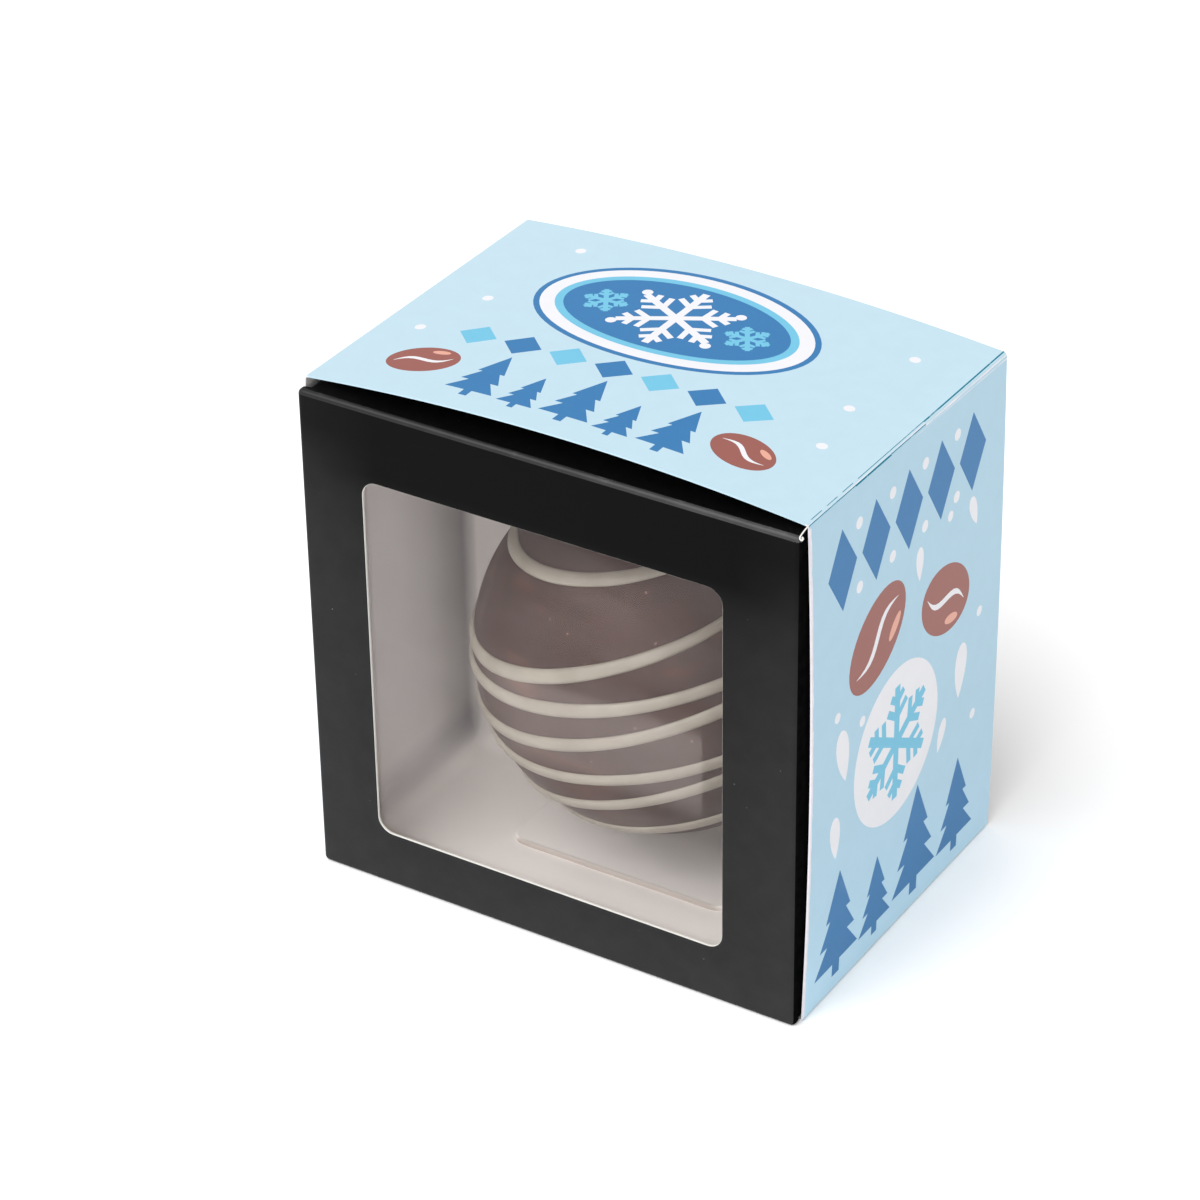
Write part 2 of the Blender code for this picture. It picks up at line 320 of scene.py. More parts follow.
def ink(name, colour, specular=0.35, foot=1.0):
    """Printed board with faint mottling and a fine paper grain, with painted light that makes it paler at
    its foot if asked.
    """
    material, tree, shader = new_material(name, roughness=0.42, specular=specular)
    mottle = object_noise(tree, scale=300, detail=5)
    tone = ramp(tree, mottle, ((0.3, shade(colour, 0.985)), (0.7, shade(colour, 1.012))))
    # Painted light: paler towards the foot
    if foot > 1.0:
        pale = along_axis(tree, "Z", (0.0, CARTON_TOP), masks((0.0, foot), (0.20, 1.04), (0.36, 1.0)))
        tone = times(tree, tone, pale)
    tree.links.new(tone, shader.inputs["Base Color"])
    bump(tree, shader, scale=2600, detail=2, distance=0.00002, strength=0.5)
    return material


def worn_material(name, first, second, along, low, high):
    """A fold's band, where one tone gives way to another in streaks along the fold."""
    material, tree, shader = new_material(name, roughness=0.6, specular=0.2)
    streaks = object_noise(tree, scale=900, detail=4, stretch=(0.6, along, 0.6), roughness=0.7)
    tone = ramp(tree, streaks, ((low, first), (high, second)))
    tree.links.new(tone, shader.inputs["Base Color"])
    return material


def dust(tree, tone, scale, low, high, colour):
    """Sparse specks of another colour over a tone."""
    dots = ramp(tree, object_noise(tree, scale, detail=1.0), masks((low, 0.0), (high, 1.0)))
    return mix(tree, dots, tone, colour)


def black_board():
    """Satin black board, with a painted reflection that makes it dark grey lower down and at its two ends.
    """
    material, tree, shader = new_material("carton_black", specular=0.05)
    height = (0.0, CARTON_TOP)
    width = (FRONT_LEFT, FRONT_RIGHT)
    # Painted reflection: the grey falls to near black towards the top and stays paler at the two ends
    end_reflection_tones = greys((0.0, 45), (0.45, 41), (0.70, 39), (0.80, 35), (0.88, 28), (0.94, 15))
    middle_reflection_tones = greys((0.0, 45), (0.10, 40), (0.45, 36), (0.72, 30), (0.82, 22), (0.87, 5))
    wear_and_reflection = along_axis(tree, "Z", height, end_reflection_tones)
    middle_reflection = along_axis(tree, "Z", height, middle_reflection_tones)
    ends = along_axis(tree, "X", width, masks((0.0, 1.0), (0.16, 0.0), (0.88, 0.0), (1.0, 0.6)))
    tone = mix(tree, ends, middle_reflection, wear_and_reflection)
    mottle = ramp(tree, object_noise(tree, scale=300, detail=5), masks((0.25, 0.9), (0.75, 1.1)))
    tone = times(tree, tone, mottle)
    tone = dust(tree, tone, scale=1500, low=0.80, high=0.83, colour=grey(110))
    tree.links.new(tone, shader.inputs["Base Color"])
    wear_and_highlight = ramp(tree, object_noise(tree, scale=700, detail=4), masks((0.3, 0.38), (0.8, 0.48)))
    tree.links.new(wear_and_highlight, shader.inputs["Roughness"])
    bump(tree, shader, scale=1800, detail=3, distance=0.00003, strength=0.35)
    return material


def black_crease():
    """The board's upper crease, pressed smooth, with a painted highlight in lighter greys that grows paler
    to the right.
    """
    material, tree, shader = new_material("carton_crease_painted_highlight", roughness=0.34, specular=0.33)
    streaks = object_noise(tree, scale=500, detail=4, stretch=(0.5, 1, 1), roughness=0.6)
    # Painted highlight: lighter greys along the crease, brightest towards the right
    dim_highlight = ramp(tree, streaks, greys((0.35, 12), (0.62, 22), (0.74, 50)))
    bright_highlight = ramp(tree, streaks, greys((0.35, 44), (0.62, 58), (0.74, 84)))
    highlight_stops = ((0.1, even(0.0)), (0.5, grey(120)), (0.9, even(1.0)))
    wear_and_highlight = along_axis(tree, "X", (FRONT_LEFT, FRONT_RIGHT), highlight_stops)
    tree.links.new(mix(tree, wear_and_highlight, dim_highlight, bright_highlight), shader.inputs["Base Color"])
    return material


def shaded_board():
    """Painted shade: the carton's dull black side, from its right front crease back into the sleeve, darker
    than the front.
    """
    material, tree, shader = new_material("carton_side_painted_shade", roughness=0.7, specular=0.0)
    tone = ramp(tree, object_noise(tree, scale=700, detail=4), greys((0.3, 6), (0.7, 12)))
    tree.links.new(tone, shader.inputs["Base Color"])
    return material


def white_board(name, colour):
    """Bare board with a fine grain, a little uneven in tone."""
    material, tree, shader = new_material(name, roughness=0.7, specular=0.25)
    fibres = object_noise(tree, scale=900, detail=4)
    tone = ramp(tree, fibres, ((0.3, shade(colour, 0.93)), (0.7, shade(colour, 1.02))))
    tree.links.new(tone, shader.inputs["Base Color"])
    bump(tree, shader, scale=3000, detail=2, distance=0.00003, strength=0.4)
    return material


def tray_plastic():
    """Soft white plastic with painted shade: darker far back by the left wall, in its lower left fold and on
    the step's face.
    """
    material, tree, shader = new_material("tray_white", roughness=0.55, specular=0.25)
    tones = ((0.3, linear(235, 228, 223)), (0.75, linear(241, 235, 230)))
    tone = ramp(tree, object_noise(tree, scale=60, detail=4), tones)
    wall_x = (-TRAY_HALF, TRAY_EDGE - TRAY_HALF)
    # Painted shade: the left wall darkens towards the back corner
    corner_shade_tones = greys((0.42, 250), (0.61, 240), (0.72, 222), (0.82, 198), (0.95, 166))
    corner_shade = along_axis(tree, "Y", (TRAY_SHADE_FROM_Y, TRAY_BACK_Y), corner_shade_tones)
    wall = along_axis(tree, "X", wall_x, masks((0.08, 1.0), (0.5, 0.0)))
    tone = mix(tree, wall, tone, times(tree, tone, corner_shade))
    # Painted shade in the fold between the floor and the left wall
    fold_z = (TRAY_LOW, TRAY_LOW + 2 * TRAY_EDGE)
    fold_shade = along_axis(tree, "Z", fold_z, masks((0.05, 0.0), (0.18, 0.8), (0.3, 1.0), (0.9, 0.0)))
    side = along_axis(tree, "X", wall_x, masks((0.3, 1.0), (1.0, 0.0)))
    tone = mix(tree, times(tree, fold_shade, side), tone, times(tree, tone, grey(215)))
    # Painted shade on the step's front face
    face_y = (STEP_FRONT_Y - 2 * STEP_EDGE, STEP_FRONT_Y + 2 * STEP_EDGE)
    face = along_axis(tree, "Y", face_y, masks((0.25, 0.0), (0.4, 1.0), (0.6, 1.0), (0.95, 0.0)))
    floor = TRAY_LOW + TRAY_WALL
    face_z = (floor, floor + 2 * STEP_HEIGHT)
    raised = along_axis(tree, "Z", face_z, masks((0.02, 0.0), (0.06, 1.0), (0.5, 1.0), (0.8, 0.0)))
    on_step = along_axis(tree, "X", (-TRAY_HALF, STEP_X), masks((0.30, 0.0), (0.45, 1.0)))
    face = times(tree, times(tree, face, raised), on_step)
    tone = mix(tree, face, tone, times(tree, tone, linear(206, 200, 196)))
    tree.links.new(tone, shader.inputs["Base Color"])
    bump(tree, shader, scale=160, detail=3, distance=0.0002, strength=0.15)
    return material


def chocolate():
    """Milk chocolate with soft clouds, a few warm smears and sparse pale specks."""
    material, tree, shader = new_material("milk_chocolate", specular=0.13)
    cloud = object_noise(tree, scale=55, detail=5, roughness=0.6)
    tones = ((0.3, linear(55, 36, 32)), (0.5, linear(62, 41, 36)), (0.7, linear(74, 48, 41)))
    tone = ramp(tree, cloud, tones)
    smear = ramp(tree, object_noise(tree, scale=70, stretch=(0.35, 1, 1.4)), masks((0.56, 0.0), (0.72, 0.6)))
    tone = mix(tree, smear, tone, linear(114, 70, 56))
    tone = dust(tree, tone, scale=900, low=0.76, high=0.80, colour=linear(132, 104, 92))
    tree.links.new(tone, shader.inputs["Base Color"])
    gloss = ramp(tree, object_noise(tree, scale=120, detail=5), masks((0.3, 0.34), (0.75, 0.52)))
    tree.links.new(gloss, shader.inputs["Roughness"])
    bump(tree, shader, scale=130, detail=2, distance=0.0003, strength=0.22)
    return material


def drizzle_cream():
    material, tree, shader = new_material("drizzle_cream", roughness=0.4, specular=0.45)
    tones = ((0.3, linear(138, 130, 118)), (0.75, linear(154, 146, 134)))
    tone = ramp(tree, object_noise(tree, scale=200, detail=4), tones)
    tree.links.new(tone, shader.inputs["Base Color"])
    bump(tree, shader, scale=500, detail=3, distance=0.0002, strength=0.2)
    return material


def clear_film():
    """Clear film: light passes and its two faces mirror a little, with haze partly painted reflection and a
    painted reflection patch.
    """
    mirror_power = 4.0
    mirror_share = 0.6
    mirror_least = 0.012
    reflection_patch_strength = 0.036
    material = bpy.data.materials.new("clear_film")
    material.use_nodes = True
    tree = material.node_tree
    tree.nodes.remove(tree.nodes["Principled BSDF"])
    output = tree.nodes["Material Output"]
    clear = node(tree, "ShaderNodeBsdfTransparent")
    gloss = node(tree, "ShaderNodeBsdfGlossy")
    gloss.inputs["Roughness"].default_value = 0.12
    haze_and_reflection = node(tree, "ShaderNodeBsdfDiffuse")
    haze_and_reflection.inputs["Color"].default_value = linear(240, 228, 224)
    weight = node(tree, "ShaderNodeLayerWeight")
    weight.inputs["Blend"].default_value = 0.5
    steep = node(tree, "ShaderNodeMath", operation="POWER")
    steep.inputs[1].default_value = mirror_power
    mirrored = node(tree, "ShaderNodeMath", operation="MULTIPLY_ADD")
    mirrored.inputs[1].default_value = mirror_share
    mirrored.inputs[2].default_value = mirror_least
    tree.links.new(weight.outputs["Facing"], steep.inputs[0])
    tree.links.new(steep.outputs[0], mirrored.inputs[0])
    # A faint haze, thicker lower down, where it is partly a painted reflection
    haze_and_low_reflection = along_axis(tree, "Z", WINDOW_UP, masks((0.0, 0.020), (0.45, 0.014)))
    # Painted reflection: a paler patch over the window's right part, a little below the middle
    across_stops = masks((0.28, 0.0), (0.42, 1.0), (0.934, 1.0), (0.941, 0.0))
    reflection_across = along_axis(tree, "X", WINDOW_ACROSS, across_stops)
    reflection_up = along_axis(tree, "Z", WINDOW_UP, masks((0.34, 0.0), (0.39, 1.0), (0.565, 1.0), (0.60, 0.0)))
    painted_reflection = times(tree, times(tree, reflection_across, reflection_up), even(reflection_patch_strength))
    streaks = object_noise(tree, scale=45, detail=4, stretch=(0.5, 1, 1.6), roughness=0.6)
    wipes = ramp(tree, streaks, masks((0.42, 0.5), (0.7, 1.9)))
    veil = mix(tree, 1.0, times(tree, haze_and_low_reflection, wipes), painted_reflection, "ADD")
    hazed = node(tree, "ShaderNodeMixShader")
    tree.links.new(veil, hazed.inputs["Fac"])
    tree.links.new(clear.outputs[0], hazed.inputs[1])
    tree.links.new(haze_and_reflection.outputs[0], hazed.inputs[2])
    mixed = node(tree, "ShaderNodeMixShader")
    tree.links.new(mirrored.outputs[0], mixed.inputs["Fac"])
    tree.links.new(hazed.outputs[0], mixed.inputs[1])
    tree.links.new(gloss.outputs[0], mixed.inputs[2])
    tree.links.new(mixed.outputs[0], output.inputs["Surface"])
    return material


# Meshes


class Maker:
    """Collects faces with their material numbers, then makes one welded object."""

    def __init__(self):
        self.points = []
        self.faces = []
        self.slots = []

    def add(self, points, faces, slots):
        start = len(self.points)
        self.points += [tuple(point) for point in points]
        for number, face in enumerate(faces):
            self.faces.append([start + corner for corner in face])
            self.slots.append(slots if isinstance(slots, int) else slots[number])

    def grid(self, rows, slots):
        """Quads between rows of points; slots is one number or one for each strip along a row."""
        width = len(rows[0])
        points = [point for row in rows for point in row]
        faces = []
        numbers = []
        for row in range(len(rows) - 1):
            for here in range(width - 1):
                low = row * width + here
                faces.append((low, low + 1, low + width + 1, low + width))
                numbers.append(slots if isinstance(slots, int) else slots[here])
        self.add(points, faces, numbers)

    def bands(self, rings, slots):
        """Quads between closed rings; slots is one number or one for each band."""
        count = len(rings[0])
        points = [point for ring in rings for point in ring]
        faces = []
        numbers = []
        for band in range(len(rings) - 1):
            for here in range(count):
                beside = (here + 1) % count
                low = band * count
                high = low + count
                faces.append((low + here, low + beside, high + beside, high + here))
                numbers.append(slots if isinstance(slots, int) else slots[band])
        self.add(points, faces, numbers)

    def cap(self, ring, slot):
        self.add(ring, [list(range(len(ring)))], slot)

    def make(self, name, materials, sharp_degrees):
        mesh = bpy.data.meshes.new(name)
        mesh.from_pydata(self.points, [], self.faces)
        for material in materials:
            mesh.materials.append(material)
        for polygon, slot in zip(mesh.polygons, self.slots):
            polygon.material_index = slot
        work = bmesh.new()
        work.from_mesh(mesh)
        bmesh.ops.remove_doubles(work, verts=work.verts, dist=WELD)
        bmesh.ops.dissolve_degenerate(work, edges=work.edges, dist=WELD / 2)
        bmesh.ops.recalc_face_normals(work, faces=work.faces)
        work.to_mesh(mesh)
        work.free()
        mesh.shade_smooth()
        mesh.set_sharp_from_angle(angle=math.radians(sharp_degrees))
        item = bpy.data.objects.new(name, mesh)
        bpy.context.scene.collection.objects.link(item)
        return item


def weight_normals(item):
    """Lets large faces set the shading at their rounded edges."""
    modifier = item.modifiers.new("Weighted", "WEIGHTED_NORMAL")
    modifier.keep_sharp = True
    modifier.weight = 100
    graph = bpy.context.evaluated_depsgraph_get()
    mesh = bpy.data.meshes.new_from_object(item.evaluated_get(graph))
    item.modifiers.clear()
    item.data = mesh


def settle(item, node_name):
    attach(item, "root")
    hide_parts(node_name)


def span(low, high, steps):
    return [low + (high - low) * step / steps for step in range(steps + 1)]


# Printed shapes, as polygons in millimetres on a flat panel

# A snowflake's pairs of twigs: where they grow on an arm and how long they are, as shares of the arm
TWIGS = ((0.45, 0.36), (0.72, 0.24))
TWIG_TURN = 55
TWIG_WIDTH = 0.8
# A fir's three stacked triangles: base, tip and half width, as shares of its height
FIR_TIERS = ((0.12, 0.55, 0.30), (0.35, 0.78, 0.24), (0.58, 1.0, 0.17))
FIR_STEM_HALF = 0.05
FIR_STEM_HEIGHT = 0.2
BEAN_STEPS = 12
DROP_TIP = 0.8


def moved(points, x, y, turn=0.0):
    """Points turned about their own origin and then moved."""
    angle = math.radians(turn)
    along = math.cos(angle)
    across = math.sin(angle)
    return [(x + u * along - v * across, y + u * across + v * along) for u, v in points]


def ellipse(x, y, rx, ry, turn=0.0, steps=40):
    turns = [2 * math.pi * step / steps for step in range(steps)]
    return moved([(rx * math.cos(at), ry * math.sin(at)) for at in turns], x, y, turn)


def dots(places, radius, slot):
    return [(ellipse(x, y, radius, radius, 0, 20), slot) for x, y in places]


def bar(x, y, length, width, turn):
    half = width / 2
    return moved(((0, -half), (length, -half), (length, half), (0, half)), x, y, turn)


def diamond(x, y, width, height):
    return [(x - width / 2, y), (x, y - height / 2), (x + width / 2, y), (x, y + height / 2)]


def drop(x, y, length, width, turn, steps=18):
    """A drop with its tip up before it is turned."""
    points = []
    for step in range(steps):
        at = 2 * math.pi * step / steps
        u = width / 2 * math.sin(at) * math.sin(at / 2) ** DROP_TIP
        points.append((u, length / 2 * math.cos(at)))
    return moved(points, x, y, turn)


def snowflake(x, y, radius, width, slot, turn=0.0):
    """Six arms with two pairs of twigs on each."""
    shapes = []
    for arm in range(6):
        angle = turn + 60 * arm
        shapes.append((bar(x, y, radius, width, angle), slot))
        for share, length in TWIGS:
            foot = moved([(radius * share, 0)], x, y, angle)[0]
            for side in (-TWIG_TURN, TWIG_TURN):
                shapes.append((bar(*foot, radius * length, width * TWIG_WIDTH, angle + side), slot))
    return shapes


def pine(x, y, height, slot):
    """A plain fir of three stacked triangles and a stem."""
    stem = height * FIR_STEM_HALF
    knot = height * FIR_STEM_HEIGHT
    shapes = [([(x - stem, y), (x + stem, y), (x + stem, y + knot), (x - stem, y + knot)], slot)]
    for base, top, half in FIR_TIERS:
        wide = height * half
        low = y + height * base
        shapes.append(([(x - wide, low), (x + wide, low), (x, y + height * top)], slot))
    return shapes


def bean(x, y, length, width, turn):
    """A cocoa bean with its long groove and a shine."""
    shapes = [(ellipse(x, y, length / 2, width / 2, turn), INK_BROWN)]
    upper = []
    lower = []
    for step in range(BEAN_STEPS + 1):
        share = step / BEAN_STEPS
        u = (share - 0.5) * length * 0.8
        v = width * 0.10 * math.sin(2 * math.pi * share)
        thick = width * 0.05 * math.sin(math.pi * share) + 0.04
        upper.append((u, v + thick))
        lower.append((u, v - thick))
    shapes.append((moved(lower + upper[::-1], x, y, turn), INK_WHITE))
    shine_place = moved([(length * 0.22, width * 0.27)], x, y, turn)[0]
    shapes.append((ellipse(*shine_place, length * 0.13, width * 0.07, turn - 14, 20), INK_SALMON))
    return shapes


# Sleeve

BLUE, INK_DARK, INK_CYAN, INK_BROWN, INK_SALMON, INK_WHITE, RAW, WORN, FOLD_LINE, INSIDE, SIDE = range(11)

# Shares of the depth, from the front, between which the top right fold's fine lines change
UPPER_BROKEN_TO = 0.30
LOWER_BOLD = (0.22, 0.40)
LOWER_ENDS = 0.58


def bulge(along):
    return 4 * along * (1 - along)


def between(first, second, share):
    return first + (second - first) * share


def depth_share(y):
    return min(max((y - SLEEVE_FRONT_Y) / (BACK_Y - SLEEVE_FRONT_Y), 0.0), 1.0)


def left_edge(y):
    return -between(SLEEVE_LEFT_FRONT, SLEEVE_LEFT_BACK, depth_share(y))


def right_height(y):
    return between(SLEEVE_HEIGHT_RIGHT_FRONT, SLEEVE_HEIGHT_RIGHT_BACK, depth_share(y))


def across_panel(x, y):
    """The share along a flat panel, and where that falls between the sleeve's two sides."""
    along = (x + PANEL_HALF) / (2 * PANEL_HALF)
    return along, between(left_edge(y) + SLEEVE_FOLD, SLEEVE_RIGHT - SLEEVE_FOLD, along)


def up_panel(z, height):
    """The share up a side panel, and where that falls between its two folds."""
    along = (z - PANEL_LOW) / (PANEL_HIGH - PANEL_LOW)
    return along, between(SLEEVE_FOLD, height - SLEEVE_FOLD, along)


def on_top(x, y, inset):
    along, x = across_panel(x, y)
    height = between(SLEEVE_HEIGHT_LEFT, right_height(y), along)
    bow = between(TOP_BOW_FRONT, TOP_BOW_BACK, depth_share(y))
    return (x, y, height - inset + bow * bulge(along))


def on_bottom(x, y, inset):
    return (across_panel(x, y)[1], y, inset)


def on_right(z, y, inset):
    along, z = up_panel(z, right_height(y))
    bow = between(RIGHT_BOW_BACK, RIGHT_BOW_FRONT, (1 - depth_share(y)) ** BOW_FADE)
    return (SLEEVE_RIGHT - inset + bow * bulge(along), y, z)


def on_left(z, y, inset):
    along, z = up_panel(z, SLEEVE_HEIGHT_LEFT)
    return (left_edge(y) + inset - LEFT_BOW * bulge(along), y, z)


def on_fold(side, upper, turn, y, inset):
    radius = SLEEVE_FOLD - inset
    edge = SLEEVE_RIGHT if side > 0 else left_edge(y)
    x = edge - side * (SLEEVE_FOLD - radius * math.cos(turn))
    rise = radius * math.sin(turn)
    height = right_height(y) if side > 0 else SLEEVE_HEIGHT_LEFT
    z = height - SLEEVE_FOLD + rise if upper else SLEEVE_FOLD - rise
    return (x, y, z)


def printed_panel(maker, place, reach, depths, shapes, ground, rim):
    """Cuts one panel along its printed shapes and gives each piece its ink."""
    low, high = reach
    across = span(low, high, ACROSS_STEPS)
    width = len(across)
    coords = [Vector((s / MM, y / MM)) for y in depths for s in across]
    last = (len(depths) - 1) * width
    border = list(range(width))
    border += [row * width + width - 1 for row in range(1, len(depths))]
    border += [last + here for here in range(width - 2, -1, -1)]
    border += [row * width for row in range(len(depths) - 2, 0, -1)]
    faces = [border]
    slots = [ground]
    for points, slot in shapes:
        area = sum(a[0] * b[1] - b[0] * a[1] for a, b in zip(points, points[1:] + points[:1]))
        ordered = points if area > 0 else points[::-1]
        faces.append(list(range(len(coords), len(coords) + len(ordered))))
        coords += [Vector(point) for point in ordered]
        slots.append(slot)
    flat, _, pieces, _, _, sources = delaunay_2d_cdt(coords, [], faces, 1, 0.00001)
    points = [place(point.x * MM, point.y * MM, 0.0) for point in flat]
    numbers = [slots[max(source)] for source in sources]
    maker.add(points, [list(piece) for piece in pieces], numbers)
    rows = [[place(s, y, SLEEVE_BOARD) for s in across] for y in depths]
    maker.grid(rows, INSIDE)
    for y in (depths[0], depths[-1]):
        maker.grid([[place(s, y, 0.0) for s in across], [place(s, y, SLEEVE_BOARD) for s in across]], rim)


def folded_edge(maker, side, upper, depths, strips):
    """One rounded fold; strips gives each row's materials from the side panel to the flat one."""
    turns = span(0.0, math.pi / 2, FOLD_STRIPS)
    for inset in (0.0, SLEEVE_BOARD):
        rows = [[on_fold(side, upper, turn, y, inset) for turn in turns] for y in depths]
        for number, pair in enumerate(zip(rows, rows[1:])):
            maker.grid(pair, INSIDE if inset else strips[number])
    for y in (depths[0], depths[-1]):
        rows = [[on_fold(side, upper, turn, y, inset) for turn in turns] for inset in (0.0, SLEEVE_BOARD)]
        maker.grid(rows, RAW)


def bare_margin(reach, y, seed):
    """A ragged strip along a panel's cut edge where the print has worn off."""
    draws = random.Random(seed)
    low, high = reach
    inner = []
    for s in span(low, high, WORN_EDGE_STEPS):
        inner.append((s / MM, (y + WORN_EDGE * draws.uniform(0.7, 1.2)) / MM))
    return ([(low / MM, y / MM), (high / MM, y / MM)] + inner[::-1], RAW)


def worn_fold():
    """A thin worn line just below the top fold, over its back half, in millimetres."""
    fold = PANEL_HIGH / MM
    back = BACK_Y / MM
    middle = 2.0
    return [([(fold - 0.05, middle), (fold - 0.55, back), (fold - 0.20, back), (fold, middle)], WORN)]


def creased_strips():
    """Two fine lines along the top right fold, of which the lower one ends halfway."""
    rows = []
    for row in range(DEPTH_STEPS):
        share = (row + 0.5) / DEPTH_STEPS
        if share < LOWER_ENDS:
            strips = [SIDE, SIDE, SIDE, FOLD_LINE, WORN, BLUE, BLUE, FOLD_LINE]
            if LOWER_BOLD[0] < share < LOWER_BOLD[1]:
                strips[2] = FOLD_LINE
            if share < UPPER_BROKEN_TO and row % 3 == 0:
                strips[7] = BLUE
        else:
            strips = [SIDE, WORN, WORN, BLUE, BLUE, BLUE, FOLD_LINE, FOLD_LINE]
        rows.append(strips)
    return rows


def top_print():
    badge = (-3, 11.5)
    shapes = [
        (ellipse(*badge, 24.5, 15.2, 0, 72), INK_DARK),
        (ellipse(*badge, 23.5, 14.2, 0, 72), INK_WHITE),
        (ellipse(*badge, 21.0, 12.0, 0, 72), INK_CYAN),
        (ellipse(*badge, 19.6, 10.7, 0, 72), INK_DARK),
    ]
    shapes += snowflake(*badge, 9.4, 1.3, INK_WHITE, 30)
    for x in (-15.8, 9.8):
        shapes += snowflake(x, 11.5, 3.9, 0.8, INK_CYAN)
    shapes += dots(((-11.5, 17.0), (5.5, 17.0), (-11.5, 6.0), (5.5, 6.0)), 0.9, INK_WHITE)
    for number in range(7):
        shapes.append((diamond(-27 + 8.2 * number, -7.8, 6.8, 6.4), INK_DARK if number % 2 else INK_CYAN))
    for number, height in enumerate((14.0, 10.5, 14.5, 10.5, 14.0)):
        shapes += pine(-18.0 + 8.4 * number, -26.0, height, INK_DARK)
    for x, turn in ((-30, 25), (26.5, -20)):
        shapes += bean(x, -18.5, 11.6, 8.2, turn)
    shapes += dots(((34, 21), (-33, 4), (33, 2), (-29, 25), (35, -10), (-37, -9)), 0.9, INK_WHITE)
    return shapes


def side_print():
    """Shapes on a side panel, with height first and depth second."""
    shapes = []
    for number in range(5):
        shapes.append((diamond(77.0, -20.5 + 10.4 * number, 14.0, 8.8), INK_DARK))
    for number in range(4):
        depth = -15.3 + 10.4 * number
        shapes += dots(((71.5, depth), (82.5, depth)), 1.0, INK_WHITE)
    disc = (36.5, -2.5)
    shapes.append((ellipse(*disc, 13.8, 13.8, 0, 60), INK_WHITE))
    shapes += snowflake(*disc, 10.5, 1.7, INK_CYAN)
    shapes += bean(59.5, -9.5, 19.5, 13.5, 58)
    shapes += bean(54.5, 13.0, 17.0, 12.0, 115)
    large = ((44, -20, 10, 80), (38, 19, 10, 95), (30, -22, 8, 85))
    small = ((66, 22, 6, 70), (29, 13, 6, 110), (65.5, 4, 6, 90))
    for z, y, length, turn in large + small:
        shapes.append((drop(z, y, length, length * 0.5, turn), INK_WHITE))
    shapes += dots(((46, 25), (52, -22), (27, 24), (69, 14), (47, -14)), 0.9, INK_WHITE)
    for y, height in ((-20, 20), (-7.5, 15), (5.5, 21), (19.5, 18)):
        for points, slot in pine(0, 0, height, INK_DARK):
            shapes.append(([(3.0 + v, y - u * 1.15) for u, v in points], slot))
    return shapes


def build_sleeve():
    materials = [
        ink("sleeve_pale_blue", PALE_BLUE),
        ink("ink_dark_blue", DARK_BLUE, specular=0.2),
        ink("ink_cyan", CYAN),
        ink("ink_brown", BROWN),
        ink("ink_salmon", SALMON),
        ink("ink_white", OFF_WHITE),
        white_board("sleeve_raw_board", RAW_BOARD),
        worn_material("sleeve_worn_fold", shade(PALE_BLUE, 1.05), WORN_BOARD, 0.12, low=0.35, high=0.6),
        worn_material("sleeve_fold_line", LINE_TEAL, shade(PALE_BLUE, 0.95), 0.3, low=0.56, high=0.76),
        white_board("sleeve_inside", SLEEVE_LINING),
        # Side panels: the pale blue with painted shade, and painted light at the foot
        ink("sleeve_side_blue_painted_shade", SHADED_SIDE_BLUE, foot=1.2),
    ]
    maker = Maker()
    depths = span(SLEEVE_FRONT_Y, BACK_Y, DEPTH_STEPS)
    flat_reach = (-PANEL_HALF, PANEL_HALF)
    side_reach = (PANEL_LOW, PANEL_HIGH)
    side_shapes = side_print() + [bare_margin(side_reach, SLEEVE_FRONT_Y, 3)]
    printed_panel(maker, on_top, flat_reach, depths, top_print(), BLUE, BLUE)
    printed_panel(maker, on_right, side_reach, depths, side_shapes + worn_fold(), SIDE, RAW)
    printed_panel(maker, on_left, side_reach, depths, side_shapes, SIDE, RAW)
    printed_panel(maker, on_bottom, flat_reach, depths, [], BLUE, BLUE)
    plain = [[SIDE] * 4 + [BLUE] * 4] * DEPTH_STEPS
    # The top left fold's strips, pale where the print is rubbed off
    wear_and_reflection = [[SIDE, SIDE, WORN, WORN, WORN, WORN, BLUE, BLUE]] * DEPTH_STEPS
    folded_edge(maker, 1, True, depths, creased_strips())
    folded_edge(maker, -1, True, depths, wear_and_reflection)
    folded_edge(maker, 1, False, depths, plain)
    folded_edge(maker, -1, False, depths, plain)
    sleeve = maker.make("printed_sleeve", materials, 40)
    settle(sleeve, "sleeve")


# Carton

BLACK, CUT, WHITE, CREASED, SHADED = range(5)


def corner_arcs(x_range, y_range, radius, steps):
    """The rounded corners of a rectangle, as a list of points for each."""
    x_low, x_high = x_range
    y_low, y_high = y_range
    corners = (
        (x_high - radius, y_high - radius),
        (x_low + radius, y_high - radius),
        (x_low + radius, y_low + radius),
        (x_high - radius, y_low + radius),
    )
    arcs = []
    for number, (x, y) in enumerate(corners):
        turns = [math.radians(90 * number + 90 * step / steps) for step in range(steps + 1)]
        arcs.append([(x + radius * math.cos(turn), y + radius * math.sin(turn)) for turn in turns])
    return arcs


def outline(x_range, z_range, radius, y, bow=0.0):
    """A rounded rectangle across the pack, with the same number of points whatever its size."""
    arcs = corner_arcs(x_range, z_range, radius, CORNER_STEPS)
    points = []
    for arc, after in zip(arcs, arcs[1:] + arcs[:1]):
        points += arc
        for share in span(0.0, 1.0, SIDE_POINTS)[1:-1]:
            points.append([between(a, b, share) for a, b in zip(arc[-1], after[0])])
    x_low, x_high = x_range
    z_low, z_high = z_range
    ring = []
    middle = (x_low + x_high) / 2
    for x, z in points:
        height = 2 * (z - z_low) / (z_high - z_low) - 1
        push = bow * (1 - height * height) * (x - middle) / ((x_high - x_low) / 2)
        ring.append((x + push, y, z))
    return ring


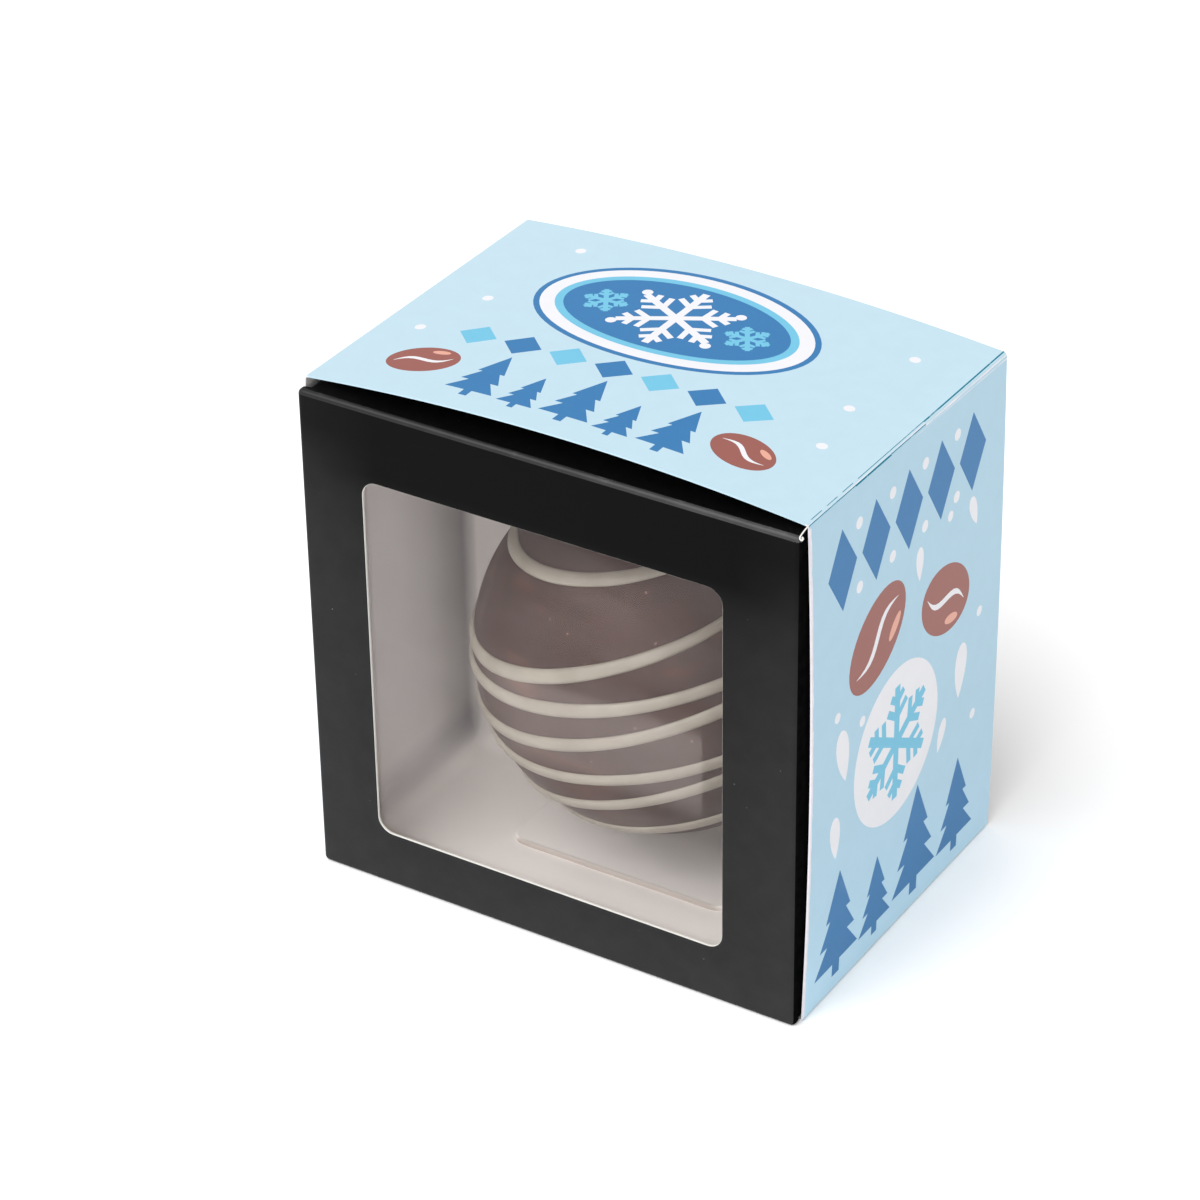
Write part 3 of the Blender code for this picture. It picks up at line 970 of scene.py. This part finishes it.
def grown(pair, amount):
    return (pair[0] - amount, pair[1] + amount)


def blend_rings(first, second, share):
    return [[between(a, b, share) for a, b in zip(p, q)] for p, q in zip(first, second)]


def drawn_in(ring, y):
    """A tiny ring round the middle of a panel, which closes the panel in short fans."""
    middle = CARTON_TOP / 2
    return [(x * FAN_SHARE, y, middle + (z - middle) * FAN_SHARE) for x, _, z in ring]


def curled_corner(maker):
    """The torn white edge of the board that curls up at the carton's top right corner."""
    path = list(CURL_STEM)
    x, back, z = CURL_CENTRE
    for turn in CURL_TURNS:
        angle = math.radians(turn)
        path.append((x + CURL_RADIUS * math.cos(angle), back, z + CURL_RADIUS * math.sin(angle)))
    half = CURL_HALF
    section = ((-half, 0.0), (half, 0.0), (half, CURL_THICKNESS), (-half, CURL_THICKNESS))
    rings = []
    for number, (x, back, z) in enumerate(path):
        before = path[max(number - 1, 0)]
        after = path[min(number + 1, len(path) - 1)]
        length = math.hypot(after[0] - before[0], after[2] - before[2])
        side_x = (before[2] - after[2]) / length
        side_z = (after[0] - before[0]) / length
        ring = []
        for across, depth in section:
            y = FRONT_Y + (back + depth) * MM
            ring.append(((x + side_x * across) * MM, y, (z + side_z * across) * MM))
        rings.append(ring)
    maker.bands(rings, CUT)
    for ring in (rings[0], rings[-1]):
        maker.cap(ring, CUT)


def build_carton():
    front_x = (FRONT_LEFT, FRONT_RIGHT)
    front_z = (0.0, CARTON_TOP)
    body_x = (-CARTON_HALF, CARTON_HALF)
    body_z = (CARTON_BOTTOM, CARTON_TOP)
    soft = SOFT_EDGE
    inner_y = FRONT_Y + CARTON_BOARD
    rings = [
        outline(WINDOW_ACROSS, WINDOW_UP, WINDOW_CORNER, inner_y),
        outline(WINDOW_ACROSS, WINDOW_UP, WINDOW_CORNER, FRONT_Y + soft),
        outline(grown(WINDOW_ACROSS, soft), grown(WINDOW_UP, soft), WINDOW_CORNER + soft, FRONT_Y),
    ]
    slots = [CUT, CUT]
    face_edge = outline(grown(front_x, -CREASE), grown(front_z, -CREASE), LEAST_CORNER, FRONT_Y)
    window_edge = rings[-1]
    for share in (0.04, 0.25, 0.5, 0.75, 0.97, 1.0):
        rings.append(blend_rings(window_edge, face_edge, share))
        slots.append(BLACK)
    for step in range(1, CREASE_STEPS + 1):
        turn = math.pi / 2 * step / CREASE_STEPS
        inset = CREASE * (1 - math.sin(turn))
        y = FRONT_Y + CREASE * (1 - math.cos(turn))
        rounding = LEAST_CORNER + (CREASE - inset) / 2
        rings.append(outline(grown(front_x, -inset), grown(front_z, -inset), rounding, y))
        slots.append(CREASED)
    lip_y = SLEEVE_FRONT_Y - CLEARANCE
    corner = BODY_CORNER
    rings.append(outline(front_x, front_z, LEAST_CORNER + CREASE / 2, lip_y - CLEARANCE))
    rings.append(outline(body_x, body_z, corner, lip_y, CARTON_BOW))
    slots += [BLACK, BLACK]
    for share in (0.25, 0.5, 0.75):
        rings.append(outline(body_x, body_z, corner, lip_y + (BACK_Y - lip_y) * share, CARTON_BOW))
        slots.append(BLACK)
    for turn in span(0.0, math.pi / 2, CREASE_STEPS - 1):
        inset = CREASE * (1 - math.cos(turn))
        y = BACK_Y - CREASE * (1 - math.sin(turn))
        bow = CARTON_BOW * math.cos(turn)
        rings.append(outline(grown(body_x, -inset), grown(body_z, -inset), corner, y, bow))
        slots.append(BLACK)
    back_edge = rings[-1]
    centre = drawn_in(back_edge, BACK_Y)
    for share in (0.03, 0.3, 0.6, 1.0):
        rings.append(blend_rings(back_edge, centre, share))
        slots.append(BLACK)
    maker = Maker()
    maker.bands(rings, slots)
    maker.cap(rings[-1], BLACK)
    inner_x = grown(body_x, -CARTON_BOARD)
    inner_z = grown(body_z, -CARTON_BOARD)
    inner_corner = corner - CARTON_BOARD
    inner_back = BACK_Y - CARTON_BOARD
    lining = [
        rings[0],
        outline(inner_x, inner_z, inner_corner, inner_y, CARTON_BOW),
        outline(inner_x, inner_z, inner_corner, inner_back, CARTON_BOW),
    ]
    lining.append(drawn_in(lining[-1], inner_back))
    maker.bands(lining, WHITE)
    maker.cap(lining[-1], WHITE)
    materials = [
        black_board(),
        white_board("carton_cut_edge", CUT_BOARD),
        white_board("carton_inside", CARTON_LINING),
        black_crease(),
        shaded_board(),
    ]
    curled_corner(maker)
    carton = maker.make("black_carton", materials, 40)
    for polygon in carton.data.polygons:
        middle = polygon.center
        # The painted crease highlight stays on the top crease only
        if polygon.material_index == CREASED and middle.z < CARTON_TOP - CREASE:
            polygon.material_index = BLACK
        # Painted shade: the right side behind the front crease takes the darker black
        on_right = middle.x > FRONT_RIGHT - CREASE / 2
        behind_front = FRONT_Y + CREASE / 3 < middle.y < BACK_Y - CREASE
        if polygon.material_index == BLACK and on_right and behind_front:
            polygon.material_index = SHADED
    settle(carton, "carton")


# Film


def build_film():
    half_x = WINDOW_WIDTH / 2 + FILM_MARGIN
    half_z = WINDOW_HEIGHT / 2 + FILM_MARGIN
    across = span(WINDOW_X - half_x, WINDOW_X + half_x, FILM_STEPS)
    rises = span(WINDOW_Z - half_z, WINDOW_Z + half_z, FILM_STEPS)
    maker = Maker()
    faces = []
    for depth in (0.0, FILM_THICKNESS):
        rows = []
        for z in rises:
            row = []
            for x in across:
                place = Vector((x * RIPPLES_PER_METRE, 4.0, z * RIPPLES_PER_METRE))
                ripple = FILM_RIPPLE * noise.noise(place)
                row.append((x, FILM_FRONT_Y + ripple + depth, z))
            rows.append(row)
        faces.append(rows)
        maker.grid(rows, 0)
    front, back = faces
    maker.grid([front[0], back[0]], 0)
    maker.grid([front[-1], back[-1]], 0)
    maker.grid([[row[0] for row in front], [row[0] for row in back]], 0)
    maker.grid([[row[-1] for row in front], [row[-1] for row in back]], 0)
    film = maker.make("clear_window_film", [clear_film()], 40)
    settle(film, "window_film")


# Tray


def block(name, x_half, y_range, z_range, corner, edge, x_centre=0.0, steps=8):
    """A closed upright block with rounded corners and rims."""
    z_low, z_high = z_range
    turns = [math.pi / 2 * (1 - step / steps) for step in range(steps + 1)]
    rim = [(edge * (1 - math.sin(turn)), edge * (1 - math.cos(turn))) for turn in turns]
    stations = [(z_low + rise, inset) for rise, inset in rim]
    stations += [(z_high - rise, inset) for rise, inset in reversed(rim)]
    rings = []
    for z, inset in stations:
        rounding = max(corner - inset, LEAST_CORNER)
        arcs = corner_arcs((inset - x_half, x_half - inset), grown(y_range, -inset), rounding, PLAN_STEPS)
        rings.append([(x + x_centre, y, z) for arc in arcs for x, y in arc])
    maker = Maker()
    maker.bands(rings, 0)
    maker.cap(rings[0], 0)
    maker.cap(rings[-1], 0)
    return maker.make(name, [], 30)


def combine(item, other, operation):
    """Applies one exact Boolean to item and removes the other object."""
    modifier = item.modifiers.new("Combine", "BOOLEAN")
    modifier.operation = operation
    modifier.solver = "EXACT"
    modifier.object = other
    graph = bpy.context.evaluated_depsgraph_get()
    mesh = bpy.data.meshes.new_from_object(item.evaluated_get(graph))
    item.modifiers.clear()
    item.data = mesh
    bpy.data.objects.remove(other)


def build_tray():
    over = 0.010
    tray = block(
        "white_tray", TRAY_HALF, (FILM_FRONT_Y - over, TRAY_BACK_Y + TRAY_WALL), (TRAY_LOW, TRAY_HIGH),
        TRAY_CORNER + TRAY_WALL, TRAY_EDGE + TRAY_WALL,
    )
    inside = block(
        "tray_inside", TRAY_HALF - TRAY_WALL, (FILM_FRONT_Y - 2 * over, TRAY_BACK_Y),
        (TRAY_LOW + TRAY_WALL, TRAY_HIGH - TRAY_WALL), TRAY_CORNER, TRAY_EDGE,
    )
    combine(tray, inside, "DIFFERENCE")
    floor = TRAY_LOW + TRAY_WALL
    step = block(
        "tray_step", STEP_WIDTH / 2, (STEP_FRONT_Y, TRAY_BACK_Y + TRAY_WALL / 2),
        (floor - TRAY_WALL / 2, floor + STEP_HEIGHT), STEP_CORNER, STEP_EDGE, STEP_X,
    )
    combine(tray, step, "UNION")
    front_cut = block(
        "tray_front_cut", TRAY_HALF + over, (FILM_FRONT_Y - 2 * over, FILM_FRONT_Y),
        (TRAY_LOW - over, TRAY_HIGH + over), LEAST_CORNER, LEAST_CORNER,
    )
    combine(tray, front_cut, "DIFFERENCE")
    rings = []
    for y in (TRAY_BACK_Y - TRAY_WALL, TRAY_BACK_Y + over):
        ring = []
        for number in range(SEAT_STEPS):
            turn = 2 * math.pi * number / SEAT_STEPS
            x = SPHERE_CENTRE.x + SEAT_RADIUS * math.cos(turn)
            ring.append((x, y, SPHERE_CENTRE.z + SEAT_RADIUS * math.sin(turn)))
        rings.append(ring)
    maker = Maker()
    maker.bands(rings, 0)
    for ring in rings:
        maker.cap(ring, 0)
    combine(tray, maker.make("tray_seat", [], 30), "DIFFERENCE")
    tray.data.materials.clear()
    tray.data.materials.append(tray_plastic())
    tray.data.shade_smooth()
    tray.data.set_sharp_from_angle(angle=math.radians(32))
    weight_normals(tray)
    settle(tray, "tray")


# Sphere


def drizzle_ring(maker, height, rise_right, rise_back, width_share, thinning, phase):
    """One bead of drizzle, where a tilted plane cuts the sphere, with a hand's small unevenness."""
    normal = Vector((-rise_right, -rise_back, 1.0))
    offset = height / normal.length
    normal.normalize()
    ring_radius = math.sqrt(SPHERE_RADIUS ** 2 - offset ** 2)
    right = Vector((1, 0, 0)).cross(normal).normalized()
    ahead = normal.cross(right)
    rings = []
    for step in range(DRIZZLE_STEPS):
        turn = 2 * math.pi * step / DRIZZLE_STEPS
        round_place = Vector((math.cos(turn), math.sin(turn), phase * PHASE_GAP))
        sway = DRIZZLE_SWAY * noise.noise(round_place * SWAY_PACE)
        spot = normal * (offset + sway) + (right * math.cos(turn) + ahead * math.sin(turn)) * ring_radius
        outward = spot.normalized()
        spot = outward * SPHERE_RADIUS
        along = ahead * math.cos(turn) - right * math.sin(turn)
        across = outward.cross(along)
        fine_swell = FINE_SWELL * noise.noise(round_place * SWELL_PACE)
        swell = 1 + fine_swell + LONG_SWELL * math.sin(3 * turn + phase)
        width = DRIZZLE_HALF_WIDTH * width_share * swell * (1 - thinning * outward.x)
        section = []
        for side in range(DRIZZLE_SIDES):
            angle = 2 * math.pi * side / DRIZZLE_SIDES
            lift = DRIZZLE_RELIEF if math.sin(angle) > 0 else DRIZZLE_ROOT
            aside = across * width * math.cos(angle)
            section.append(SPHERE_CENTRE + spot + aside + outward * lift * math.sin(angle))
        rings.append(section)
    rings.append(rings[0])
    maker.bands(rings, 1)


def build_sphere():
    maker = Maker()
    ball = bmesh.new()
    bmesh.ops.create_icosphere(ball, subdivisions=6, radius=SPHERE_RADIUS)
    points = []
    for vertex in ball.verts:
        unevenness = BALL_UNEVENNESS * noise.noise(vertex.co * LUMPS_PER_METRE)
        points.append(SPHERE_CENTRE + vertex.co * (1 + unevenness / SPHERE_RADIUS))
    maker.add(points, [[vertex.index for vertex in face.verts] for face in ball.faces], 0)
    ball.free()
    for number, ring in enumerate(DRIZZLE_RINGS):
        drizzle_ring(maker, *ring, number)
    sphere = maker.make("chocolate_and_drizzle", [chocolate(), drizzle_cream()], 60)
    settle(sphere, "chocolate_sphere")


# Floor, light and camera


def direction(azimuth, elevation):
    """The way from the pack to something seen at this azimuth and elevation."""
    a = math.radians(azimuth)
    e = math.radians(elevation)
    return Vector((math.sin(a) * math.cos(e), -math.cos(a) * math.cos(e), math.sin(e)))


def build_studio():
    size = FLOOR_HALF
    corners = [(-size, -size, 0), (size, -size, 0), (size, size, 0), (-size, size, 0)]
    mesh = bpy.data.meshes.new("studio_floor")
    mesh.from_pydata(corners, [], [(0, 1, 2, 3)])
    floor = bpy.data.objects.new("studio_floor", mesh)
    bpy.context.scene.collection.objects.link(floor)
    material, _, shader = new_material("studio_floor", roughness=0.9, specular=0.1)
    shader.inputs["Base Color"].default_value = even(FLOOR_TONE)
    mesh.materials.append(material)

    world = bpy.data.worlds.new("studio")
    world.use_nodes = True
    background = world.node_tree.nodes["Background"]
    background.inputs["Color"].default_value = even(1.0)
    background.inputs["Strength"].default_value = SKY_STRENGTH
    bpy.context.scene.world = world

    for name, azimuth, elevation, strength, spread in SUNS:
        light = bpy.data.lights.new(name, "SUN")
        light.energy = strength
        light.angle = math.radians(spread)
        lamp = bpy.data.objects.new(name, light)
        lamp.rotation_euler = direction(azimuth, elevation).to_track_quat("Z", "Y").to_euler()
        bpy.context.scene.collection.objects.link(lamp)


def build_camera():
    azimuth = math.radians(CAMERA_AZIMUTH)
    roll = math.radians(CAMERA_ROLL)
    back = direction(CAMERA_AZIMUTH, CAMERA_ELEVATION)
    level = Vector((math.cos(azimuth), math.sin(azimuth), 0))
    above = back.cross(level)
    right = level * math.cos(roll) + above * math.sin(roll)
    up = above * math.cos(roll) - level * math.sin(roll)
    data = bpy.data.cameras.new("camera")
    data.lens = CAMERA_LENS
    data.sensor_width = CAMERA_SENSOR
    camera = bpy.data.objects.new("camera", data)
    place = CAMERA_TARGET + right * CAMERA_ASIDE + up * CAMERA_UP + back * CAMERA_DISTANCE
    turned = Matrix((right, up, back)).transposed().to_4x4()
    camera.matrix_world = Matrix.Translation(place) @ turned
    bpy.context.scene.collection.objects.link(camera)
    bpy.context.scene.camera = camera


build_sleeve()
build_carton()
build_film()
build_tray()
build_sphere()
build_studio()
build_camera()
bpy.context.scene.view_settings.view_transform = "Standard"
